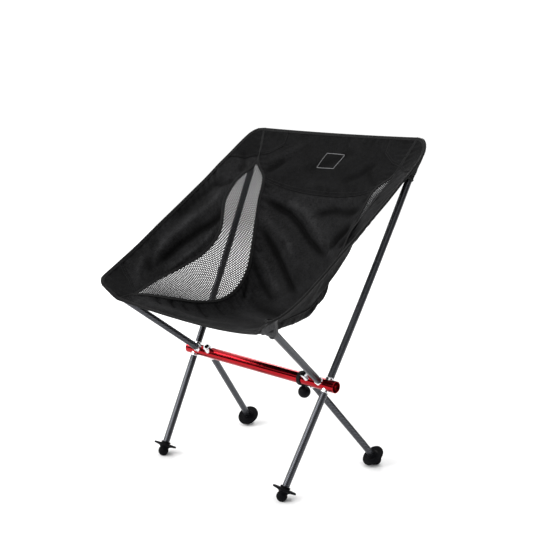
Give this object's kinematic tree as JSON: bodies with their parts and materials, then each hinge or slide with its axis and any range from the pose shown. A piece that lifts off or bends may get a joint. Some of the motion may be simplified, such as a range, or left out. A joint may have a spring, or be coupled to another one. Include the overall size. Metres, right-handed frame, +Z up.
{
  "type": "ultralight backpacking chair",
  "caption": "Low camp chair: crossed tube frame plugged into one cross hub, with a four-cornered sling seat that has net sides.",
  "frame": {"origin": "on the ground, under the middle of the chair's box", "axes": "+Z up, +X along the hub towards the sitter's left, the seat opens towards -Y"},
  "size_m": [0.4866, 0.4484, 0.6386],
  "materials": {
    "hub_anodised": "bright red anodised",
    "pole_anodised": "dark grey anodised, semi-gloss",
    "ferrule_polished": "polished",
    "shock_cord": "braided cover",
    "cap_plastic": "moulded",
    "foot_rubber": "moulded rubber",
    "tape_fabric": "grosgrain tape",
    "patch_fabric": "flat woven",
    "net_fabric": "knitted net",
    "pocket_fabric": "coated ripstop",
    "elastic": "woven elastic",
    "toggle_plastic": "moulded",
    "sling_fabric": "plain weave polyester"
  },
  "bodies": {
    "frame": {"hub_tube": "hub_anodised", "main_ferrule_left": "ferrule_polished", "seat_ferrule_left": "ferrule_polished", "rear_ferrule_left": "ferrule_polished", "back_pole_lower_left": "pole_anodised", "back_pole_upper_left": "pole_anodised", "back_pole_joiner_left": "ferrule_polished", "seat_pole_left": "pole_anodised", "back_pole_cap_left": "cap_plastic", "seat_pole_cap_left": "cap_plastic", "back_pole_cord_left": "shock_cord", "seat_pole_cord_left": "shock_cord", "main_ferrule_right": "ferrule_polished", "seat_ferrule_right": "ferrule_polished", "rear_ferrule_right": "ferrule_polished", "back_pole_lower_right": "pole_anodised", "back_pole_upper_right": "pole_anodised", "back_pole_joiner_right": "ferrule_polished", "seat_pole_right": "pole_anodised", "back_pole_cap_right": "cap_plastic", "seat_pole_cap_right": "cap_plastic", "back_pole_cord_right": "shock_cord", "seat_pole_cord_right": "shock_cord", "seat_panel": "sling_fabric", "headrest_panel": "sling_fabric", "hem_tape": "tape_fabric", "label_patch": "patch_fabric", "side_mesh_left": "net_fabric", "side_wing_left": "sling_fabric", "back_pocket_left": "pocket_fabric", "front_pocket_left": "pocket_fabric", "side_mesh_right": "net_fabric", "side_wing_right": "sling_fabric", "back_pocket_right": "pocket_fabric", "front_pocket_right": "pocket_fabric"},
    "front_leg_left_body": {"front_leg_left": "pole_anodised", "front_foot_left": "foot_rubber", "front_leg_cord_left": "shock_cord"},
    "rear_leg_left_body": {"rear_leg_left": "pole_anodised", "rear_foot_left": "foot_rubber", "rear_leg_cord_left": "shock_cord"},
    "front_leg_right_body": {"front_leg_right": "pole_anodised", "front_foot_right": "foot_rubber", "front_leg_cord_right": "shock_cord"},
    "rear_leg_right_body": {"rear_leg_right": "pole_anodised", "rear_foot_right": "foot_rubber", "rear_leg_cord_right": "shock_cord"},
    "tie_band_body": {"tie_band": "elastic"},
    "tie_ball_body": {"tie_ball": "toggle_plastic"}
  },
  "joints": [
    {"name": "front_leg_left_pull", "type": "slide", "parent": "frame", "child": "front_leg_left_body", "axis": [0.068, -0.49, -0.8691], "range_m": [0, 0.045], "stiffness_N_per_m": 100, "springref_m": -0.05},
    {"name": "rear_leg_left_pull", "type": "slide", "parent": "frame", "child": "rear_leg_left_body", "axis": [-0.1623, 0.6237, -0.7646], "range_m": [0, 0.045], "stiffness_N_per_m": 100, "springref_m": -0.05},
    {"name": "front_leg_right_pull", "type": "slide", "parent": "frame", "child": "front_leg_right_body", "axis": [-0.068, -0.49, -0.8691], "range_m": [0, 0.045], "stiffness_N_per_m": 100, "springref_m": -0.05},
    {"name": "rear_leg_right_pull", "type": "slide", "parent": "frame", "child": "rear_leg_right_body", "axis": [0.1623, 0.6237, -0.7646], "range_m": [0, 0.045], "stiffness_N_per_m": 100, "springref_m": -0.05},
    {"name": "tie_slide", "type": "slide", "parent": "frame", "child": "tie_band_body", "axis": [1, 0, 0], "range_m": [-0.229, 0]},
    {"name": "tie_turn", "type": "hinge", "parent": "tie_band_body", "child": "tie_ball_body", "pos_m": [0.1155, -0.01687, 0.197], "axis": [1, 0, 0], "continuous": true}
  ]
}
